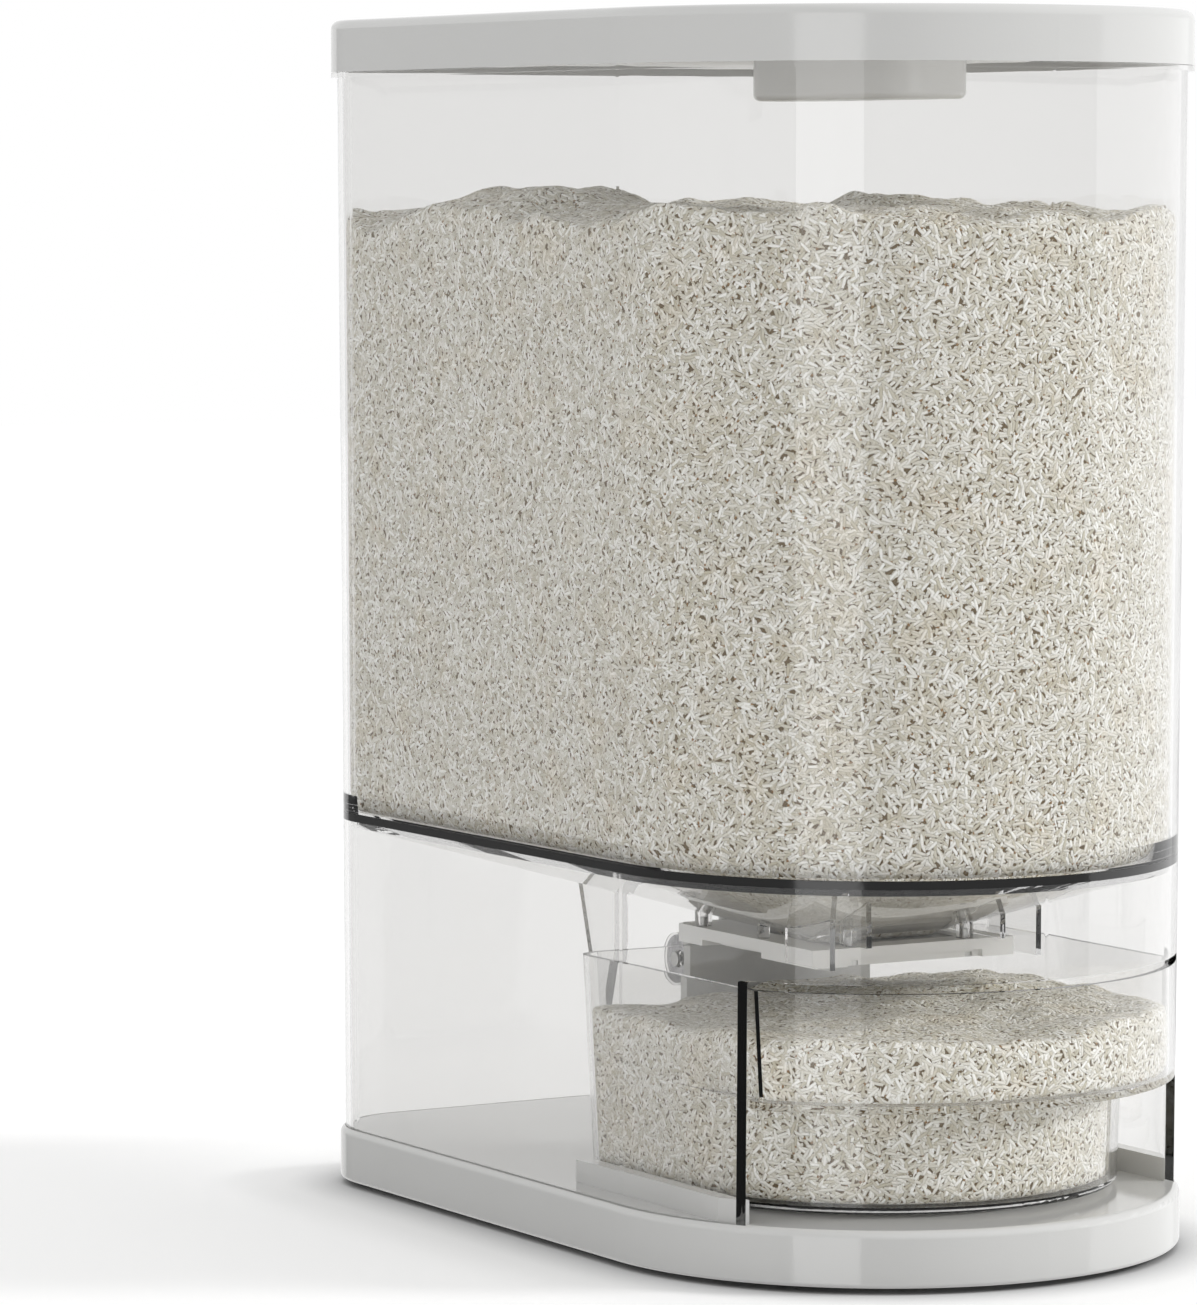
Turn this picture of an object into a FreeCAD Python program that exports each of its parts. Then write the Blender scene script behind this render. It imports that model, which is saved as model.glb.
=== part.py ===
"""Rice dispenser with a push-in drawer cup: clear tank on a clear lower shell, white base and lid.

Millimetres, +Z up, front of the dispenser towards -Y. The origin is the centre of the footprint of
the whole dispenser, on the surface that it stands on. Every horizontal section is a D: straight
sides, a half round front, and a flat back with rounded corners.
"""
import FreeCAD
import Part
import math
import os

Vec = FreeCAD.Vector

# Driving heights
OVERALL_HEIGHT = 400.0
FOOT_GAP = 2.0
BASE_TOP = 20.0
SHELL_TOP = 126.7
SEAL_THICKNESS = 2.6
FLANGE_THICKNESS = 1.6
LID_HEIGHT = 17.5
NECK_HEIGHT = 9.8

# Driving plan sizes of the body
BODY_HALF = 97.2
BODY_DEPTH = 306.2
BODY_CORNER = 32.0
FRONT_FLAT = 0.4
WALL_DRAFT = 0.005
BODY_WALL = 2.5
BASE_OVERHANG = 1.8
LID_OVERHANG = 2.1

# Running and fitting clearances
FIT_GAP = 0.2
SLIDE_GAP = 0.3
PIN_GAP = 0.05

# Base and feet
BASE_EDGE_ROUND = 2.5
BASE_FOOT_ROUND = 1.5
BASE_PLATE = 6.0
BASE_SKIRT = 2.6
BASE_RIB = 2.0
BASE_RIB_DEPTH = 3.0
BASE_RIB_X = 30.0
BASE_RIB_PITCH = 72.0
GROOVE_DEPTH = 2.8
GUIDE_INNER_HALF = 79.9
GUIDE_THICKNESS = 5.2
GUIDE_HEIGHT = 7.5
GUIDE_REAR = -10.0
FOOT_RADIUS = 8.0
FOOT_RECESS = 2.0
FOOT_CHAMFER = 0.8
FOOT_BOSS_WALL = 2.4
FOOT_INSET_SIDE = 35.2
FOOT_INSET_FRONT = 48.0
FOOT_INSET_REAR = 30.0

# Drawer opening in the lower shell
OPENING_HALF = 82.3
OPENING_TOP = 96.8
OPENING_ROUND = 0.8

# Hopper floor of the tank
HOPPER_INSET = 4.0
HOPPER_RIM_Z = 127.5
HOPPER_SKIN = 3.0
TANK_BOTTOM_ROUND = 8.0
OUTLET_HALF = 24.7
OUTLET_FRONT = -60.0
OUTLET_LENGTH = 30.0
OUTLET_ROUND = 3.0
OUTLET_Z = 101.8
OUTLET_NECK = 2.5
FIN_THICKNESS = 2.0
FIN_FRONT = -91.0
GUIDE_FIN_REAR = -64.5
GUIDE_FIN_Z = 95.5
BOSS_RADIUS = 2.8
LOCATOR_RADIUS = 2.0
LOCATOR_Y = -42.3
GUSSET_X = 40.8
GUSSET_THICKNESS = 3.4
GUSSET_FRONT = 37.2
GUSSET_REAR = 66.8
GUSSET_KNEE_Z = 91.0
GUSSET_FOOT_Y = 46.3
GUSSET_FOOT_WIDTH = 3.0
GUSSET_FOOT_Z = 64.0

# Shutter frame under the outlet
FRAME_HALF = 38.2
FRAME_FRONT = -79.0
FRAME_REAR = 5.9
FRAME_BOTTOM = 94.5
FRAME_HEIGHT = 6.0
FRAME_BAR = 9.0
FRAME_FRONT_STEP = 2.5
WINDOW_HALF = 26.0
WINDOW_REAR = -24.0
CHANNEL_FLOOR = 2.1
CHANNEL_DEPTH = 2.8
LUG_SLOT_DEPTH = 5.0
LUG_SLOT_FRONT = -46.0
LUG_SLOT_REAR = -9.3
LUG_WIDTH = 3.0
FRAME_SCREW_REAR = (34.8, -4.5)
FRAME_SCREW_FRONT = (22.0, -74.5)

# Shutter, push paddle and return spring
SHUTTER_HALF = 31.0
SHUTTER_FRONT = -62.0
SHUTTER_THICKNESS = 2.2
SHUTTER_REAR = 17.0
PADDLE_LEFT = -33.6
PADDLE_RIGHT = 38.0
PADDLE_FRONT = 7.0
PADDLE_THICKNESS = 4.0
PADDLE_BOTTOM = 58.0
PADDLE_ROUND = 4.0
PADDLE_FLANGE_LEFT = -22.0
PADDLE_RIB_PITCH = 16.0
PADDLE_RIB_DEPTH = 5.0
PADDLE_RIB_THICKNESS = 1.6
REEL_LEFT = -30.7
REEL_WIDTH = 6.0
REEL_RADIUS = 8.8
REEL_GAP_TO_PADDLE = 0.4
REEL_CHEEK = 0.8
REEL_HUB_RADIUS = 3.0
SPRING_OUTER_RADIUS = 8.0
STRIP_THICKNESS = 0.3
STRIP_LIFT = 0.1
STRIP_TAIL = 6.0
STRIP_PEG_RADIUS = 0.8
PIN_RADIUS = 1.25
PIN_HEAD_RADIUS = 2.4
PIN_HEAD = 1.0

# Screws
SCREW_RADIUS = 1.1
SCREW_HEAD_RADIUS = 2.4
SCREW_HEAD = 1.6
SCREW_LENGTH = 9.0
PADDLE_SCREW_X = 15.0
PADDLE_SCREW_LENGTH = 6.0

# Drawer cup
CUP_HALF_TOP = 80.8
CUP_HALF_BOTTOM = 78.6
CUP_BACK_TOP = -0.5
CUP_BACK_DRAFT = 3.5
CUP_CORNER = 9.0
CUP_TOP = 94.0
CUP_FLOOR_Z = 21.6
CUP_WALL = 2.2
CUP_LEDGE_Z = 56.5
CUP_FOOT_ROUND = 1.8
RUNNER_X = 46.0
RUNNER_WIDTH = 3.0
RUNNER_FRONT = -104.0
RUNNER_REAR = -20.0

# Lid
LID_TOP_THICKNESS = 2.5
LID_SKIRT = 1.7
LID_EDGE_ROUND = 3.0
LINER_ABOVE_RIM = 2.5
LINER_PLATE = 2.0
LINER_WALL = 1.8
LINER_TO_NECK = 1.4
GASKET_HEIGHT = 3.0
GASKET_GROOVE = 0.8
GASKET_RISE = 3.0

# Repellent case under the lid
CASE_HALF_WIDTH = 14.0
CASE_LENGTH = 103.5
CASE_CENTRE_Y = -43.0
CASE_DEPTH = 13.3
CASE_WALL = 1.6
CASE_BOTTOM_ROUND = 2.2
CASE_SLOTS = 7
CASE_SLOT_WIDTH = 3.0
CASE_SLOT_PITCH = 10.0
CASE_HOLDER_HEIGHT = 3.5
SACHET_MARGIN = 3.5
SACHET_THICKNESS = 5.0

# Rice
RICE_GAP = 0.5
TANK_HEADROOM = 47.5
CUP_RICE_LEVEL = 80.0
RICE_GRID = 9
TANK_RICE_MOUNDS = ((-62.0, 42.0, 5.5, 34.0), (40.0, -20.0, 4.5, 30.0), (60.0, 90.0, 3.5, 40.0),
                    (-30.0, -95.0, 3.0, 26.0), (-70.0, 110.0, -2.0, 22.0))
CUP_RICE_MOUNDS = ((32.0, -62.0, 5.5, 26.0), (-20.0, -90.0, 1.5, 22.0), (-66.0, -20.0, -4.0, 24.0))

# Derived sizes
ARC_Y = BODY_HALF - BODY_DEPTH / 2 - FRONT_FLAT / 4
BACK_Y = ARC_Y - BODY_HALF + BODY_DEPTH
TANK_BOTTOM = SHELL_TOP + SEAL_THICKNESS
LID_BOTTOM = OVERALL_HEIGHT - LID_HEIGHT
FLANGE_TOP = LID_BOTTOM - SLIDE_GAP
FLANGE_BOTTOM = FLANGE_TOP - FLANGE_THICKNESS
NECK_TOP = FLANGE_TOP + NECK_HEIGHT
LINER_Z = LID_BOTTOM + LINER_ABOVE_RIM
CASE_BOTTOM = LINER_Z - CASE_DEPTH
TANK_RICE_LEVEL = LID_BOTTOM - TANK_HEADROOM
OUTLET_REAR = OUTLET_FRONT + OUTLET_LENGTH
FRAME_TOP = FRAME_BOTTOM + FRAME_HEIGHT
CHANNEL_BOTTOM = FRAME_BOTTOM + CHANNEL_FLOOR
SHUTTER_BOTTOM = CHANNEL_BOTTOM + (CHANNEL_DEPTH - SHUTTER_THICKNESS) / 2
SHUTTER_TOP = SHUTTER_BOTTOM + SHUTTER_THICKNESS
PADDLE_REAR = PADDLE_FRONT + PADDLE_THICKNESS
REEL_Y = PADDLE_REAR + REEL_GAP_TO_PADDLE + REEL_RADIUS
STRIP_BOTTOM = FRAME_BOTTOM + 0.1
REEL_Z = STRIP_BOTTOM - STRIP_LIFT - SPRING_OUTER_RADIUS
OUTER = 1000.0


def wall_growth(z):
    """How far the drafted body wall has moved outwards at height z."""
    return WALL_DRAFT * (z - BASE_TOP)


def outline(half, front, back, front_round, back_round, z):
    """Closed D wire: eight edges, the front corners as large arcs and the back corners small."""
    left_front = Vec(-half, front + front_round, z)
    left_back = Vec(-half, back - back_round, z)
    back_left = Vec(-half + back_round, back, z)
    back_right = Vec(half - back_round, back, z)
    right_back = Vec(half, back - back_round, z)
    right_front = Vec(half, front + front_round, z)
    front_right = Vec(half - front_round, front, z)
    front_left = Vec(-half + front_round, front, z)
    slant = math.sqrt(0.5)
    back_mid = back_round * (1 - slant)
    front_mid = front_round * (1 - slant)
    edges = [
        Part.LineSegment(left_front, left_back).toShape(),
        Part.Arc(left_back, Vec(-half + back_mid, back - back_mid, z), back_left).toShape(),
        Part.LineSegment(back_left, back_right).toShape(),
        Part.Arc(back_right, Vec(half - back_mid, back - back_mid, z), right_back).toShape(),
        Part.LineSegment(right_back, right_front).toShape(),
        Part.Arc(right_front, Vec(half - front_mid, front + front_mid, z), front_right).toShape(),
        Part.LineSegment(front_right, front_left).toShape(),
        Part.Arc(front_left, Vec(-half + front_mid, front + front_mid, z), left_front).toShape(),
    ]
    return Part.Wire(edges)


def body_wire(inset, z, shape_z=None):
    """Section of the body at height z, moved inwards by inset."""
    growth = wall_growth(z if shape_z is None else shape_z)
    half = BODY_HALF + growth - inset
    front_round = half - FRONT_FLAT / 2
    front = ARC_Y - front_round
    return outline(half, front, BACK_Y + growth - inset, front_round, BODY_CORNER + growth - inset, z)


def loft(lower, upper):
    """Ruled solid between two wires with matching edges."""
    return Part.makeLoft([lower, upper], True, True)


def prism(wire, height):
    """Upright solid on a flat wire."""
    return Part.Face(wire).extrude(Vec(0, 0, height))


def body_block(inset, z_low, z_high):
    """Drafted solid that follows the body wall between two heights."""
    return loft(body_wire(inset, z_low), body_wire(inset, z_high))


def body_plate(inset, z_low, z_high, shape_z):
    """Straight sided solid with the body's outline at shape_z."""
    return prism(body_wire(inset, z_low, shape_z), z_high - z_low)


def box(x_low, x_high, y_low, y_high, z_low, z_high):
    """Box between two corners."""
    return Part.makeBox(x_high - x_low, y_high - y_low, z_high - z_low, Vec(x_low, y_low, z_low))


def upright(radius, x, y, z_low, z_high):
    """Upright cylinder."""
    return Part.makeCylinder(radius, z_high - z_low, Vec(x, y, z_low))


def axle(radius, x_low, x_high, y, z):
    """Cylinder along X."""
    return Part.makeCylinder(radius, x_high - x_low, Vec(x_low, y, z), Vec(1, 0, 0))


def stadium(half_width, length, centre_y, z_low, z_high):
    """Upright solid with two straight sides along Y and half round ends."""
    straight = length / 2 - half_width
    middle = box(-half_width, half_width, centre_y - straight, centre_y + straight, z_low, z_high)
    ends = [upright(half_width, 0, centre_y + end * straight, z_low, z_high) for end in (-1, 1)]
    return middle.fuse(ends).removeSplitter()


def flat_edges(shape, z, keep=None):
    """Edges of a shape that lie wholly at one height."""
    found = []
    for edge in shape.Edges:
        bounds = edge.BoundBox
        if abs(bounds.ZMin - z) < 0.01 and abs(bounds.ZMax - z) < 0.01:
            if keep is None or keep(edge):
                found.append(edge)
    return found


def make_base():
    """White moulded base: top plate on a skirt, shell groove, drawer guides and foot bosses."""
    base = body_plate(-BASE_OVERHANG, FOOT_GAP, BASE_TOP, BASE_TOP)
    base = base.makeFillet(BASE_EDGE_ROUND, flat_edges(base, BASE_TOP))
    base = base.makeFillet(BASE_FOOT_ROUND, flat_edges(base, FOOT_GAP))
    pocket_top = BASE_TOP - BASE_PLATE
    pocket = body_plate(BASE_SKIRT - BASE_OVERHANG, FOOT_GAP, pocket_top, BASE_TOP)
    rib_z = pocket_top - BASE_RIB_DEPTH
    ribs = [box(side * BASE_RIB_X - BASE_RIB / 2, side * BASE_RIB_X + BASE_RIB / 2,
                -OUTER, OUTER, rib_z, pocket_top) for side in (-1, 1)]
    ribs += [box(-OUTER, OUTER, row * BASE_RIB_PITCH - BASE_RIB / 2, row * BASE_RIB_PITCH + BASE_RIB / 2,
                 rib_z, pocket_top) for row in (-1, 0, 1)]
    ribs += [upright(FOOT_RADIUS + FOOT_BOSS_WALL, x, y, FOOT_GAP, pocket_top) for x, y in foot_places()]
    base = base.cut(pocket.cut(ribs))
    base = base.cut([upright(FOOT_RADIUS + FIT_GAP, x, y, FOOT_GAP, FOOT_GAP + FOOT_RECESS)
                     for x, y in foot_places()])
    groove = body_plate(-FIT_GAP, BASE_TOP - GROOVE_DEPTH, BASE_TOP, BASE_TOP)
    groove = groove.cut(body_plate(BODY_WALL + FIT_GAP, BASE_TOP - GROOVE_DEPTH, BASE_TOP, BASE_TOP))
    kerb = OPENING_HALF - FIT_GAP
    groove = groove.cut(box(-kerb, kerb, -OUTER, ARC_Y, 0, BASE_TOP))
    base = base.cut(groove)
    room = body_plate(BODY_WALL + 2 * FIT_GAP, BASE_TOP, BASE_TOP + GUIDE_HEIGHT, BASE_TOP)
    for side in (-1, 1):
        near = side * GUIDE_INNER_HALF
        far = side * (GUIDE_INNER_HALF + GUIDE_THICKNESS)
        guide = box(min(near, far), max(near, far), -OUTER, GUIDE_REAR, BASE_TOP, BASE_TOP + GUIDE_HEIGHT)
        base = base.fuse(guide.common(room))
    return base.removeSplitter()


def foot_places():
    """Centres of the four feet."""
    front = ARC_Y - FOOT_INSET_FRONT
    rear = BACK_Y - FOOT_INSET_REAR
    side = BODY_HALF - FOOT_INSET_SIDE
    return [(-side, front), (side, front), (-side, rear), (side, rear)]


def make_foot(place):
    """Rubber foot with a chamfered sole, pressed into its recess."""
    x, y = place
    foot = upright(FOOT_RADIUS, x, y, 0, FOOT_GAP + FOOT_RECESS)
    return foot.makeChamfer(FOOT_CHAMFER, flat_edges(foot, 0))


def make_lower_shell():
    """Clear lower shell with the drawer opening through its front."""
    bottom = BASE_TOP - GROOVE_DEPTH
    shell = body_block(0, bottom, SHELL_TOP).cut(body_block(BODY_WALL, bottom, SHELL_TOP))
    opening = box(-OPENING_HALF, OPENING_HALF, -OUTER, ARC_Y, 0, OPENING_TOP)
    corners = [edge for edge in opening.Edges
               if abs(edge.BoundBox.ZMin - OPENING_TOP) < 0.01 and edge.BoundBox.YLength > OUTER / 2]
    return shell.cut(opening.makeFillet(OPENING_ROUND, corners))


def make_body_seal():
    """Dark ring between the lower shell and the tank."""
    ring = body_plate(0, SHELL_TOP, TANK_BOTTOM, SHELL_TOP)
    return ring.cut(body_plate(BODY_WALL, SHELL_TOP, TANK_BOTTOM, SHELL_TOP))


def outlet_wire(margin, z):
    """Rectangular outlet with rounded corners, larger by margin on each side."""
    corner = OUTLET_ROUND + margin
    return outline(OUTLET_HALF + margin, OUTLET_FRONT - margin, OUTLET_REAR + margin, corner, corner, z)


def tank_cavity(gap, top):
    """Inside of the tank down to the mouth of its outlet, smaller by gap all round."""
    step_z = HOPPER_RIM_Z + TANK_BOTTOM_ROUND
    inset = BODY_WALL + gap
    upper = loft(body_wire(inset, step_z + gap), body_wire(inset, top))
    slant = math.sqrt(0.5)
    middle_inset = inset + HOPPER_INSET * (1 - slant)
    middle_z = HOPPER_RIM_Z + TANK_BOTTOM_ROUND * (1 - slant) + gap
    rounding = loft(body_wire(middle_inset, middle_z, step_z), body_wire(inset, step_z + gap))
    foot = loft(body_wire(inset + HOPPER_INSET, HOPPER_RIM_Z + gap, step_z),
                body_wire(middle_inset, middle_z, step_z))
    mouth_z = OUTLET_Z + OUTLET_NECK + gap
    hopper = loft(outlet_wire(-gap, mouth_z), body_wire(inset + HOPPER_INSET, HOPPER_RIM_Z + gap, step_z))
    neck = prism(outlet_wire(-gap, OUTLET_Z), mouth_z - OUTLET_Z)
    return upper.fuse([rounding, foot, hopper, neck])


def frame_screw_places():
    """Centres of the four frame screws, mirrored about the middle."""
    places = []
    for x, y in (FRAME_SCREW_REAR, FRAME_SCREW_FRONT):
        places += [(-x, y), (x, y)]
    return places


def make_fins():
    """Upright fins below the hopper: an inner pair beside the outlet and an outer pair beside the frame."""
    fins = []
    for side in (-1, 1):
        for near, rear, z_low in ((OUTLET_HALF, OUTLET_REAR + FIN_THICKNESS, OUTLET_Z),
                                  (FRAME_HALF + SLIDE_GAP, GUIDE_FIN_REAR, GUIDE_FIN_Z)):
            edges = sorted((side * near, side * (near + FIN_THICKNESS)))
            fins.append(box(edges[0], edges[1], FIN_FRONT, rear, z_low, HOPPER_RIM_Z))
    return fins


def make_gussets():
    """Two ribs that narrow to a foot behind the paddle and stiffen the hopper floor."""
    gussets = []
    for side in (-1, 1):
        x = side * GUSSET_X - GUSSET_THICKNESS / 2
        points = [Vec(x, GUSSET_FRONT, GUSSET_KNEE_Z),
                  Vec(x, GUSSET_FOOT_Y - GUSSET_FOOT_WIDTH / 2, GUSSET_FOOT_Z),
                  Vec(x, GUSSET_FOOT_Y + GUSSET_FOOT_WIDTH / 2, GUSSET_FOOT_Z),
                  Vec(x, GUSSET_REAR, HOPPER_RIM_Z),
                  Vec(x, GUSSET_FRONT, HOPPER_RIM_Z)]
        points.append(points[0])
        gussets.append(Part.Face(Part.makePolygon(points)).extrude(Vec(GUSSET_THICKNESS, 0, 0)))
    return gussets


def make_tank():
    """Clear tank: drafted wall, rim flange, neck for the lid, and hopper floor with its outlet."""
    step_z = HOPPER_RIM_Z + TANK_BOTTOM_ROUND
    wall = body_block(0, TANK_BOTTOM, NECK_TOP)
    flange = body_plate(-LID_OVERHANG, FLANGE_BOTTOM, FLANGE_TOP, FLANGE_TOP)
    rim_inset = BODY_WALL + SLIDE_GAP
    hopper_top = HOPPER_RIM_Z - HOPPER_SKIN
    spigot = loft(body_wire(rim_inset, hopper_top), body_wire(rim_inset, TANK_BOTTOM + BODY_WALL))
    hopper = loft(outlet_wire(FIN_THICKNESS, OUTLET_Z), body_wire(rim_inset, hopper_top))
    bosses = [upright(BOSS_RADIUS, x, y, FRAME_TOP, HOPPER_RIM_Z) for x, y in frame_screw_places()]
    bosses += [upright(LOCATOR_RADIUS, side * FRAME_SCREW_REAR[0], LOCATOR_Y, FRAME_TOP, HOPPER_RIM_Z)
               for side in (-1, 1)]
    tank = wall.fuse([flange, spigot, hopper] + make_fins() + make_gussets() + bosses)
    tank = tank.cut(tank_cavity(0, NECK_TOP))
    tank = tank.cut([upright(SCREW_RADIUS + PIN_GAP, x, y, FRAME_TOP, FRAME_TOP + SCREW_LENGTH)
                     for x, y in frame_screw_places()])
    return tank.removeSplitter()


def rice_surface(level, mounds, z_high):
    """Solid above a gently heaped surface: the level plus smooth mounds."""
    rows = []
    half_x = BODY_HALF + LID_OVERHANG
    half_y = BODY_DEPTH / 2 + LID_OVERHANG
    for row in range(RICE_GRID):
        y = -half_y + 2 * half_y * row / (RICE_GRID - 1)
        points = []
        for column in range(RICE_GRID):
            x = -half_x + 2 * half_x * column / (RICE_GRID - 1)
            z = level
            for mound_x, mound_y, height, spread in mounds:
                distance = ((x - mound_x) ** 2 + (y - mound_y) ** 2) / spread ** 2
                z += height * math.exp(-distance / 2)
            points.append(Vec(x, y, z))
        rows.append(points)
    surface = Part.BSplineSurface()
    surface.interpolate(rows)
    return surface.toShape().extrude(Vec(0, 0, z_high - level))


def make_tank_rice():
    """Rice in the tank, heaped at the top and following the hopper floor."""
    mouth = prism(outlet_wire(-RICE_GAP, SHUTTER_TOP + SLIDE_GAP), OUTLET_Z - SHUTTER_TOP)
    fill = tank_cavity(RICE_GAP, FLANGE_BOTTOM).fuse(mouth)
    return fill.cut(rice_surface(TANK_RICE_LEVEL, TANK_RICE_MOUNDS, OVERALL_HEIGHT)).removeSplitter()


def make_shutter_frame():
    """Grey frame screwed under the outlet, with a window and a channel for the shutter."""
    frame = box(-FRAME_HALF, FRAME_HALF, FRAME_FRONT, FRAME_REAR, FRAME_BOTTOM, FRAME_TOP)
    window = box(-WINDOW_HALF, WINDOW_HALF, FRAME_FRONT + FRAME_BAR, WINDOW_REAR, FRAME_BOTTOM, FRAME_TOP)
    channel = box(-SHUTTER_HALF - SLIDE_GAP, SHUTTER_HALF + SLIDE_GAP, SHUTTER_FRONT - 2 * SLIDE_GAP,
                  FRAME_REAR, CHANNEL_BOTTOM, CHANNEL_BOTTOM + CHANNEL_DEPTH)
    front_step = box(-WINDOW_HALF, WINDOW_HALF, FRAME_FRONT, FRAME_FRONT + FRAME_BAR / 4,
                     FRAME_BOTTOM, FRAME_BOTTOM + FRAME_FRONT_STEP)
    cuts = [window, channel, front_step]
    for side in (-1, 1):
        slot = sorted((side * SHUTTER_HALF, side * (SHUTTER_HALF + LUG_SLOT_DEPTH)))
        edge = sorted((side * SHUTTER_HALF, side * FRAME_HALF))
        cuts.append(box(slot[0], slot[1], LUG_SLOT_FRONT, LUG_SLOT_REAR,
                        FRAME_BOTTOM, CHANNEL_BOTTOM + CHANNEL_DEPTH))
        cuts.append(box(edge[0], edge[1], LUG_SLOT_FRONT, LUG_SLOT_REAR, FRAME_BOTTOM, CHANNEL_BOTTOM))
    for x, y in frame_screw_places():
        cuts.append(upright(SCREW_RADIUS + PIN_GAP, x, y, FRAME_BOTTOM, FRAME_TOP))
        cuts.append(upright(SCREW_HEAD_RADIUS + FIT_GAP, x, y, FRAME_BOTTOM, FRAME_BOTTOM + SCREW_HEAD))
    left, right = strip_sides()
    x, y = strip_peg_place()
    recess = box(left - FIT_GAP, right + FIT_GAP, FRAME_REAR - STRIP_TAIL - FIT_GAP, FRAME_REAR,
                 FRAME_BOTTOM, STRIP_BOTTOM + STRIP_THICKNESS)
    cuts.append(recess.cut(upright(STRIP_PEG_RADIUS, x, y, FRAME_BOTTOM, FRAME_TOP)))
    return frame.cut(cuts)


def make_frame_screws():
    """Four screws that hold the frame to the bosses of the tank."""
    screws = []
    for x, y in frame_screw_places():
        head = upright(SCREW_HEAD_RADIUS, x, y, FRAME_BOTTOM, FRAME_BOTTOM + SCREW_HEAD)
        shank = upright(SCREW_RADIUS, x, y, FRAME_BOTTOM, FRAME_BOTTOM + SCREW_LENGTH)
        screws.append(head.fuse(shank))
    return Part.makeCompound(screws)


def paddle_screw_places():
    """Centres of the two screws that join the shutter and the paddle."""
    y = (PADDLE_REAR + SHUTTER_REAR) / 2
    return [(-PADDLE_SCREW_X, y), (PADDLE_SCREW_X, y)]


def make_shutter_plate():
    """Flat shutter that closes the outlet, with a stop lug on each side."""
    plate = box(-SHUTTER_HALF, SHUTTER_HALF, SHUTTER_FRONT, SHUTTER_REAR, SHUTTER_BOTTOM, SHUTTER_TOP)
    corners = [edge for edge in plate.Edges if edge.BoundBox.ZLength > SHUTTER_THICKNESS / 2]
    plate = plate.makeFillet(SHUTTER_THICKNESS, corners)
    lug_front = LUG_SLOT_FRONT + SLIDE_GAP
    for side in (-1, 1):
        reach = side * (SHUTTER_HALF + LUG_SLOT_DEPTH - SLIDE_GAP)
        arm = sorted((side * (SHUTTER_HALF - SHUTTER_THICKNESS), reach))
        lug = sorted((side * (SHUTTER_HALF + SLIDE_GAP), reach))
        rear = lug_front + LUG_WIDTH
        plate = plate.fuse([box(arm[0], arm[1], lug_front, rear, SHUTTER_BOTTOM, SHUTTER_TOP),
                            box(lug[0], lug[1], lug_front, rear, FRAME_BOTTOM + SLIDE_GAP, SHUTTER_TOP)])
    return plate.cut([upright(SCREW_RADIUS + PIN_GAP, x, y, SHUTTER_BOTTOM, SHUTTER_TOP)
                      for x, y in paddle_screw_places()]).removeSplitter()


def make_push_paddle():
    """Paddle that the cup pushes: upright plate with back ribs, top flange and a reel boss."""
    plate = box(PADDLE_LEFT, PADDLE_RIGHT, PADDLE_FRONT, PADDLE_REAR, PADDLE_BOTTOM, SHUTTER_BOTTOM)
    corners = [edge for edge in plate.Edges
               if edge.BoundBox.YLength > PADDLE_THICKNESS / 2 and edge.BoundBox.ZMax < PADDLE_BOTTOM + 1]
    plate = plate.makeFillet(PADDLE_ROUND, corners)
    flange_bottom = SHUTTER_BOTTOM - CHANNEL_FLOOR
    flange = box(PADDLE_FLANGE_LEFT, SHUTTER_HALF, PADDLE_REAR, SHUTTER_REAR, flange_bottom, SHUTTER_BOTTOM)
    pieces = [flange]
    for x, y in paddle_screw_places():
        pieces.append(upright(SCREW_HEAD_RADIUS, x, y, SHUTTER_BOTTOM - PADDLE_SCREW_LENGTH, SHUTTER_BOTTOM))
    rib_count = int((SHUTTER_HALF - PADDLE_FLANGE_LEFT) / PADDLE_RIB_PITCH)
    for rib in range(rib_count + 1):
        x = PADDLE_FLANGE_LEFT + rib * PADDLE_RIB_PITCH
        pieces.append(box(x, x + PADDLE_RIB_THICKNESS, PADDLE_REAR, PADDLE_REAR + PADDLE_RIB_DEPTH,
                          PADDLE_BOTTOM + PADDLE_ROUND, flange_bottom))
    boss_left = REEL_LEFT + REEL_WIDTH + FIT_GAP
    boss_right = PADDLE_FLANGE_LEFT + PADDLE_RIB_THICKNESS
    pieces.append(axle(REEL_HUB_RADIUS, boss_left, boss_right, REEL_Y, REEL_Z))
    pieces.append(box(boss_left, boss_right, PADDLE_REAR, REEL_Y,
                      REEL_Z - REEL_HUB_RADIUS, REEL_Z + REEL_HUB_RADIUS))
    paddle = plate.fuse(pieces)
    cuts = [axle(PIN_RADIUS + PIN_GAP, boss_left, boss_right, REEL_Y, REEL_Z)]
    cuts.append(box(REEL_LEFT, REEL_LEFT + REEL_WIDTH, PADDLE_FRONT, PADDLE_REAR,
                    STRIP_BOTTOM - SLIDE_GAP, STRIP_BOTTOM + STRIP_THICKNESS + SLIDE_GAP))
    cuts += [upright(SCREW_RADIUS + PIN_GAP, x, y, SHUTTER_BOTTOM - PADDLE_SCREW_LENGTH, SHUTTER_BOTTOM)
             for x, y in paddle_screw_places()]
    return paddle.cut(cuts).removeSplitter()


def make_paddle_screws():
    """Two screws that hold the paddle's flange to the shutter."""
    screws = []
    for x, y in paddle_screw_places():
        head = upright(SCREW_HEAD_RADIUS, x, y, SHUTTER_TOP, SHUTTER_TOP + SCREW_HEAD)
        shank = upright(SCREW_RADIUS, x, y, SHUTTER_TOP - PADDLE_SCREW_LENGTH, SHUTTER_TOP + SCREW_HEAD)
        screws.append(head.fuse(shank))
    return Part.makeCompound(screws)


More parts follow.
